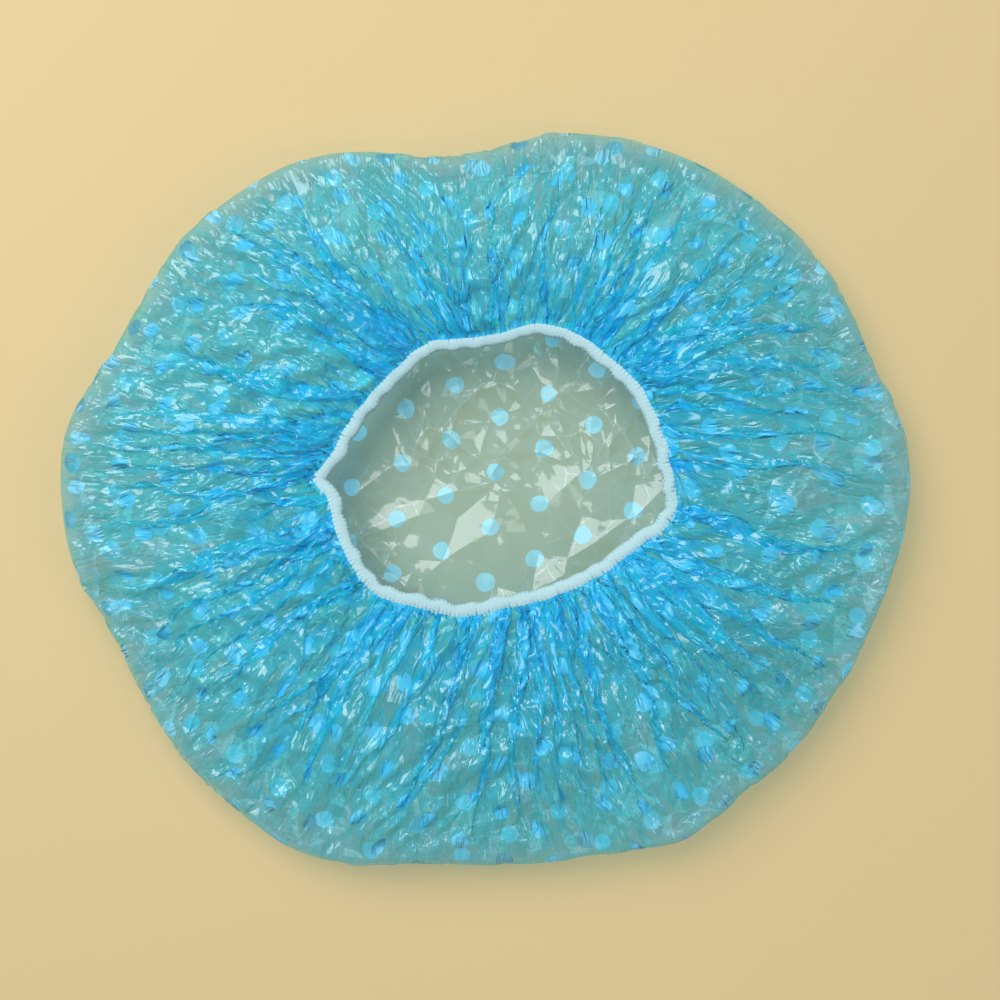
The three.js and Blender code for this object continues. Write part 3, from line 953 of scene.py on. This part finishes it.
# %% Film material
def film_material():
    """packed is the gather times a random share for each strip, and steers the colours towards more
    layers of film. painted_highlight_share is its opposite, and paints a pale cyan highlight on the
    strips that it picks. Creases are paler and hazier, partly as whitened film and partly as a
    painted highlight along their ridges, and the glossy coat fades with the gather. Printed dots
    lie over all that, and shadow rays see only the tint of passing light."""
    material, tree, hazy = new_material("film")
    flat = surface_place(tree)
    close = new_node(tree, "ShaderNodeAttribute", {}, attribute_name="gather").outputs["Fac"]
    size, shift = DOT_CRUMPLE
    crumpled = vectors(tree, "SUBTRACT", film_noise(tree, flat, size), (0.5, 0.5, 0.5))
    dots = dot_mask(tree, vectors(tree, "MULTIPLY_ADD", crumpled, (shift, shift, 0), flat))
    height, crease_pale_and_highlight = crushed(tree, flat)
    chance, ridge, streak = pleats(tree, flat)
    normal = film_relief(tree, close, height, ridge, streak)
    share = maths(tree, "MULTIPLY_ADD", chance, 2.0, 0.2)
    packed = maths(tree, "MULTIPLY", close, share, clamp=True)
    # Painted highlight: strips with the lowest random share are painted pale cyan, as if they faced
    # the lamp.
    share = maths(tree, "MULTIPLY_ADD", chance, -4.0, 1.8)
    painted_highlight_share = maths(tree, "MULTIPLY", close, share, clamp=True)
    # Creases in loose film are painted paler: partly whitened film, partly a painted highlight
    # along their ridges.
    loose = maths(tree, "MULTIPLY_ADD", close, -2.5, 1.0)
    crease_pale_and_highlight = maths(tree, "MULTIPLY", crease_pale_and_highlight, loose, clamp=True)
    haze_and_painted_highlights = mixed(tree, painted_highlight_share, ramp(tree, packed, *HAZE), PAINTED_HIGHLIGHT)
    haze_and_painted_highlights = mixed(tree, maths(tree, "MULTIPLY", crease_pale_and_highlight, 0.5), haze_and_painted_highlights, CREASE_PALE_AND_HIGHLIGHT)
    gloss = maths(tree, "MULTIPLY_ADD", close, -1.3, 1.0, clamp=True)
    for socket, value in (("Base Color", haze_and_painted_highlights), ("Roughness", 0.45), ("Normal", normal),
                          ("Sheen Weight", 1.0), ("Sheen Roughness", 0.35), ("Sheen Tint", SHEEN),
                          ("Coat Weight", gloss), ("Coat Roughness", 0.11), ("Coat IOR", 2.7),
                          ("Coat Normal", normal)):
        feed(tree, hazy.inputs[socket], value)
    cover = ramp(tree, packed, *COVER)
    # The same creases are made hazier too, partly whitened film and partly painted highlight.
    cover = maths(tree, "MULTIPLY_ADD", crease_pale_and_highlight, 0.15, cover, clamp=True)
    plain = shaders(tree, cover, clear_film(tree, ramp(tree, packed, *CLEAR)), hazy.outputs[0])
    ink = new_node(tree, "ShaderNodeBsdfPrincipled",
                   {"Base Color": ramp(tree, close, *INK), "Roughness": 0.4, "Normal": normal})
    both = shaders(tree, maths(tree, "MULTIPLY", dots, INK_COVER), plain, ink.outputs[0])
    shadow_ray = new_node(tree, "ShaderNodeLightPath", {}).outputs["Is Shadow Ray"]
    lit = shaders(tree, shadow_ray, both, clear_film(tree, mixed(tree, packed, *PASSED)))
    feed(tree, tree.nodes["Material Output"].inputs["Surface"], lit)
    print("film material", len(tree.nodes), "nodes")
    return material


film.data.materials.append(film_material())
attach(film, "root")
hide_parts("cap_film")

# %% [markdown]
# ## The overlock seam
#
# An overlock seam wraps the raw edge of the film and the elastic. The upper looper thread zigzags
# over them, the lower looper thread zigzags under them, and the needle thread runs along the film
# side and catches both. Each thread is a soft flattened yarn: one oval profile carried along one
# closed path, which lies on an oval tube round the seam's middle line. A curve with a bevel could
# carry the profile too, but it would not keep the yarn's flat side on the seam.

# %% The seam's oval tube
STITCH = 0.00135
BAND_HALF_WIDTH = 0.0024
BAND_HALF_HEIGHT = 0.00095
BAND_WANDER = 0.0003
BAND_UNEVEN = 0.1
SWELLS = 6
UP = np.array([0, 0, 1.0])
stitches = int(round(arc[-1] / STITCH))


def along_seam(distance):
    """Middle line and outward normal of the seam at distances along it."""
    turns = np.interp(distance % arc[-1], arc, np.arange(SEAM_STEPS + 1) / SEAM_STEPS)
    return smooth_ring(seam_path, turns), smooth_ring(seam_out, turns)


def band_swell(distance, cycles, seed):
    """A smooth random wave along the seam, near 0, that closes on itself: SWELLS sine waves of
    between half of cycles and cycles turns."""
    draw = np.random.default_rng(seed)
    count = draw.integers(cycles // 2, cycles, SWELLS)
    start = draw.uniform(0, TURN, SWELLS)
    turns = distance[..., None] / arc[-1] * TURN
    return np.sin(count * turns + start).sum(-1) / SWELLS**0.5


def band_place(distance, angle, lift):
    """The point on the seam's oval tube: angle 0 is its inner edge, a quarter turn is its top
    and a half turn its outer edge. lift moves it off the tube. Returns it with the tube's normal.
    The band swells and wanders a little along the seam."""
    middle, out = along_seam(distance)
    middle = middle + out * BAND_WANDER * band_swell(distance, 40, 7)[..., None]
    out = out * (1 + BAND_UNEVEN * band_swell(distance, 56, 8))[..., None]
    cosine, sine = np.cos(angle)[..., None], np.sin(angle)[..., None]
    normal = unit(-out * cosine / BAND_HALF_WIDTH + UP * sine / BAND_HALF_HEIGHT)
    point = middle - out * BAND_HALF_WIDTH * cosine + UP * BAND_HALF_HEIGHT * sine
    return point + lift * normal, normal


print(stitches, "stitches")

# %% Yarn along a closed path
YARN_SIDES = 6
GIRTH = 2.5


def yarn(name, path, face, width, thickness):
    """Carries an oval along a closed path. face is the direction that the oval's flat side looks,
    at each point; its long axis lies square to that and to the path. The way round the oval is
    taken as GIRTH times its width."""
    along = unit(step_both_ways(path))
    wide = unit(np.cross(along, face))
    thick = np.cross(wide, along)
    turn = np.arange(YARN_SIDES) / YARN_SIDES * TURN
    ring = (width / 2 * np.cos(turn)[:, None] * wide[:, None]
            + thickness / 2 * np.sin(turn)[:, None] * thick[:, None])
    length = running_length(path)
    piece = grid_mesh(name, path[:, None] + ring,
                      lambda a, b: np.stack([length[a], b * (width * GIRTH / YARN_SIDES)], -1),
                      closed=(True, True))
    print(name, "yarn", length[-1].round(3), "m,", len(piece.data.polygons), "faces")
    return piece


# %% [markdown]
# A looper thread's zigzag turns on the outer side, where the needle thread holds it, and on the
# inner side, where it only wraps the edge. Small random steps in its reach make the edge of the
# band soft and uneven, as hand-fed film does.

# %% Looper threads
LOOPER_STEPS = 10
LOOPER_WIDTH = 0.0013
LOOPER_THICKNESS = 0.00044
LOOPER_LIFT = 0.0002
REACH = 0.17
SLACK = 0.06
ROUNDED = 0.12


def looper(name, seed, inner, outer, phase):
    """The angle on the tube goes to and fro between inner and outer, in degrees, as a zigzag with
    rounded ends, once each stitch. Each stitch reaches a little more or less far, by REACH, and
    comes a little sooner or later, by SLACK."""
    draw = np.random.default_rng(seed)
    inner, outer = np.radians(inner), np.radians(outer)
    place = np.arange(stitches * LOOPER_STEPS) / LOOPER_STEPS + phase
    swing = zigzag(place)
    swing = (1 + ROUNDED) * swing - ROUNDED * swing**3
    reach = np.repeat(draw.normal(0, REACH, stitches), LOOPER_STEPS)
    slack = np.repeat(draw.normal(0, SLACK, stitches), LOOPER_STEPS)
    angle = (inner + outer) / 2 + (outer - inner) / 2 * swing * (1 + 0.5 * reach) + reach * 0.5
    distance = (place - phase + slack) / stitches * arc[-1]
    return yarn(name, *band_place(distance, angle, LOOPER_LIFT), LOOPER_WIDTH, LOOPER_THICKNESS)


upper = looper("upper_looper_yarn", 11, -28, 158, 0.0)
lower = looper("lower_looper_yarn", 12, 28, -158, 0.5)

# %% [markdown]
# The needle thread is a running stitch: over both loopers for most of each stitch, then
# down through the film. Its path is one wave along the outer side of the band.

# %% Needle thread
NEEDLE_STEPS = 8
NEEDLE_ASIDE = 0.0021
NEEDLE_TOP = 0.00085
NEEDLE_DIP = 0.0013
NEEDLE_WIDTH = 0.00052
NEEDLE_THICKNESS = 0.0004


def needle_yarn():
    """Its height is a wave that stays up for most of the stitch and dips quickly once a stitch:
    1.6 times a cosine less 0.6, held between 0 and 1."""
    place = np.arange(stitches * NEEDLE_STEPS) / NEEDLE_STEPS
    dip = np.clip(1.6 * np.cos(place * TURN) - 0.6, 0, 1)
    middle, out = along_seam(place / stitches * arc[-1])
    point = middle + out * NEEDLE_ASIDE + UP * (NEEDLE_TOP - NEEDLE_DIP * dip)[:, None]
    return yarn("needle_yarn", point, np.tile(UP, (len(place), 1)), NEEDLE_WIDTH, NEEDLE_THICKNESS)


needle_thread = needle_yarn()

# %% [markdown]
# The elastic is a woven ribbon inside the seam. Its two ends lap at the join, so its path runs once
# round and a little further, and the last part lies on the first. The ends are cut flat and closed.

# %% Elastic
ELASTIC_STEPS = 480
ELASTIC_SIDES = 12
ELASTIC_WIDTH = 0.003
ELASTIC_WALL = 0.0004
ELASTIC_LAP = 0.008
ELASTIC_STEP_UP = 0.004
ELASTIC_CLEAR = 1.15
ELASTIC_DROP = 0.0002


def flattened(wave, power):
    """A sine or cosine raised to a power, with its sign kept, which squares off an oval."""
    return np.sign(wave) * abs(wave) ** power


def elastic_ribbon():
    """A flat oval profile along the seam, once round and the lap further, stepping up by a little
    more than its own thickness over the last part."""
    travelled = np.linspace(0, arc[-1] + ELASTIC_LAP, ELASTIC_STEPS)
    middle, out = along_seam(travelled + arc[-1] / 2 - ELASTIC_LAP / 2)
    lapped = np.clip((travelled - arc[-1] + ELASTIC_STEP_UP) / ELASTIC_STEP_UP, 0, 1)
    rise = lapped * (ELASTIC_WALL * ELASTIC_CLEAR) - ELASTIC_DROP
    middle = middle + UP * rise[:, None]
    turn = np.arange(ELASTIC_SIDES) / ELASTIC_SIDES * TURN
    wide, thick = flattened(np.cos(turn), 0.5), flattened(np.sin(turn), 0.7)
    points = (middle[:, None] + ELASTIC_WIDTH / 2 * wide[:, None] * out[:, None]
              + ELASTIC_WALL / 2 * thick[:, None] * UP)
    along, across = arc[-1] / ELASTIC_STEPS, 2 * ELASTIC_WIDTH / ELASTIC_SIDES
    piece = grid_mesh("elastic_ribbon", points,
                      lambda a, b: np.stack([a * along, b * across], -1), closed=(False, True))
    ends = bmesh.new()
    ends.from_mesh(piece.data)
    bmesh.ops.holes_fill(ends, edges=ends.edges[:], sides=0)
    ends.to_mesh(piece.data)
    ends.free()
    return piece


elastic = elastic_ribbon()
print("elastic_ribbon", len(elastic.data.polygons), "faces")

# %% [markdown]
# ## Threads and elastic
#
# A thread is spun from plies of loose, fluffy fibres, and the elastic is woven from such yarn.
# Modelled fibres would be far too many, so painted shading and a bump stand for them. One group
# makes both for all four pieces, and each material only sets how long a ply is and between which
# two colours it runs. The threads are white; the pale blue of their colours is painted light, for
# the blue light that the film beside them throws on them.

# %% Twisted yarn
YARN_BUMP = 0.00008
FIBRE_SIZE = 0.00012


def yarn_group():
    """Twisted plies and loose fibres, from the thread's own coordinates in metres. The plies are a
    wave that climbs round the thread as it runs on, and the fibres are noise drawn out along it.
    Painted shading and height each add the wave and the fibres, so the colour is painted paler
    where the relief is higher and deeper in the grooves between the plies."""
    tree = bpy.data.node_groups.new("twisted yarn", "ShaderNodeTree")
    for name, way, kind in (("Place", "INPUT", "Vector"), ("Ply", "INPUT", "Float"),
                            ("Painted shading", "OUTPUT", "Float"), ("Height", "OUTPUT", "Float")):
        tree.interface.new_socket(name, in_out=way, socket_type="NodeSocket" + kind)
    came, goes = tree.nodes.new("NodeGroupInput"), tree.nodes.new("NodeGroupOutput")
    place = came.outputs["Place"]
    parts = new_node(tree, "ShaderNodeSeparateXYZ", {0: place}).outputs
    climb = maths(tree, "ADD", parts["X"], parts["Y"])
    turns = maths(tree, "DIVIDE", climb, came.outputs["Ply"])
    wave = maths(tree, "SINE", maths(tree, "MULTIPLY", turns, TURN))
    fibre = noise(tree, vectors(tree, "MULTIPLY", place, (0.25, 1, 1)), FIBRE_SIZE, 3)
    height = maths(tree, "MULTIPLY_ADD", wave, 0.5, maths(tree, "MULTIPLY", fibre, 0.9))
    feed(tree, goes.inputs["Height"], maths(tree, "MULTIPLY", height, YARN_BUMP))
    # Painted shading: the wave and fibres that raise the relief also make the colour paler, so the
    # grooves between plies are painted deeper.
    painted_shading = maths(tree, "MULTIPLY_ADD", fibre, 0.5, 0.25)
    painted_shading = maths(tree, "MULTIPLY_ADD", wave, 0.18, painted_shading, clamp=True)
    feed(tree, goes.inputs["Painted shading"], painted_shading)
    return tree


twisted_yarn = yarn_group()
print("twisted yarn", len(twisted_yarn.nodes), "nodes")


# %% Thread materials
def thread_material(name, deep, pale, ply):
    """Matt yarn: the group's painted shading runs from the deep colour to the pale one, and its
    height bends the normal."""
    material, tree, shader = new_material(name)
    group = new_node(tree, "ShaderNodeGroup", {}, node_tree=twisted_yarn)
    feed(tree, group.inputs["Place"], surface_place(tree))
    group.inputs["Ply"].default_value = ply
    feed(tree, shader.inputs["Base Color"], mixed(tree, group.outputs["Painted shading"], deep, pale))
    shader.inputs["Roughness"].default_value = 0.75
    feed(tree, shader.inputs["Normal"], bumped(tree, group.outputs["Height"]))
    return material


# The pale blue in these colours is painted light: it stands for the blue light that the film beside
# them throws on white yarn.
looks = [thread_material(name, linear(*deep), linear(*pale), ply) for name, deep, pale, ply in (
    ("looper thread", (170, 222, 232), (212, 242, 247), 0.0007),
    ("needle thread", (200, 232, 240), (238, 250, 252), 0.0003),
    ("elastic weave", (190, 214, 218), (226, 236, 238), 0.0004))]
for piece, node_name, slot, look in (
        (upper, "upper_looper_thread", "thread", looks[0]),
        (lower, "lower_looper_thread", "thread", looks[0]),
        (needle_thread, "needle_thread", "thread", looks[1]),
        (elastic, "hem_elastic", "elastic", looks[2])):
    piece.data.materials.append(look)
    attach(piece, "root")
    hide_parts(node_name)
    print(piece.name, "wears", look.name)

# %% [markdown]
# The film is the only sheet. It is held gathered in the seam.

# %% [markdown]
# ## Floor and light
#
# A plain pale floor shows through the film, so its colour matters. One large soft lamp
# stands at the upper left, where the photograph's soft shadows point from, a weaker one fills from
# the right, and an even white world does the rest. Together they light the floor at about the level
# at which its colour shows as it is written.

# %% Floor
FLOOR_HALF = 1.5


def floor_plane():
    """A square of warm paper, its tone varied very slightly by wide noise."""
    line = np.array([-FLOOR_HALF, FLOOR_HALF])
    points = np.stack(np.meshgrid(line, line, [0.0], indexing="ij"), -1)[:, :, 0]
    plane = grid_mesh("floor", points, lambda a, b: np.stack([a, b], -1) * (2 * FLOOR_HALF))
    material, tree, shader = new_material("floor paper")
    tone = noise(tree, new_node(tree, "ShaderNodeTexCoord", {}).outputs["Object"], 0.4, 1)
    colour = mixed(tree, tone, linear(226, 202, 150), linear(231, 209, 158))
    feed(tree, shader.inputs["Base Color"], colour)
    shader.inputs["Roughness"].default_value = 0.9
    plane.data.materials.append(material)
    return plane


floor = floor_plane()
print("floor", 2 * FLOOR_HALF, "m square")

# %% Lamps and world
WORLD_STRENGTH = 0.2
FILM_BOUNCES = 32


def soft_lamp(name, place, size, power):
    """A square lamp that looks at the cap: size metres a side, and power watts."""
    data = bpy.data.lights.new(name, "AREA")
    data.size = size
    data.energy = power
    lamp = bpy.data.objects.new(name, data)
    lamp.location = place
    lamp.rotation_euler = (-Vector(place)).to_track_quat("-Z", "Y").to_euler()
    scene.collection.objects.link(lamp)
    print(name, "lamp", power, "W, far", round(Vector(place).length, 2), "m")


soft_lamp("key", (-0.55, 0.62, 1.1), 1.15, 18.5)
soft_lamp("fill", (0.8, -0.3, 0.9), 0.6, 2.3)
world = bpy.data.worlds.new("studio")
world.use_nodes = True
background = world.node_tree.nodes["Background"]
background.inputs["Color"].default_value = (1, 1, 1, 1)
background.inputs["Strength"].default_value = WORLD_STRENGTH
scene.world = world
scene.view_settings.view_transform = "Standard"
scene.cycles.transparent_max_bounces = FILM_BOUNCES
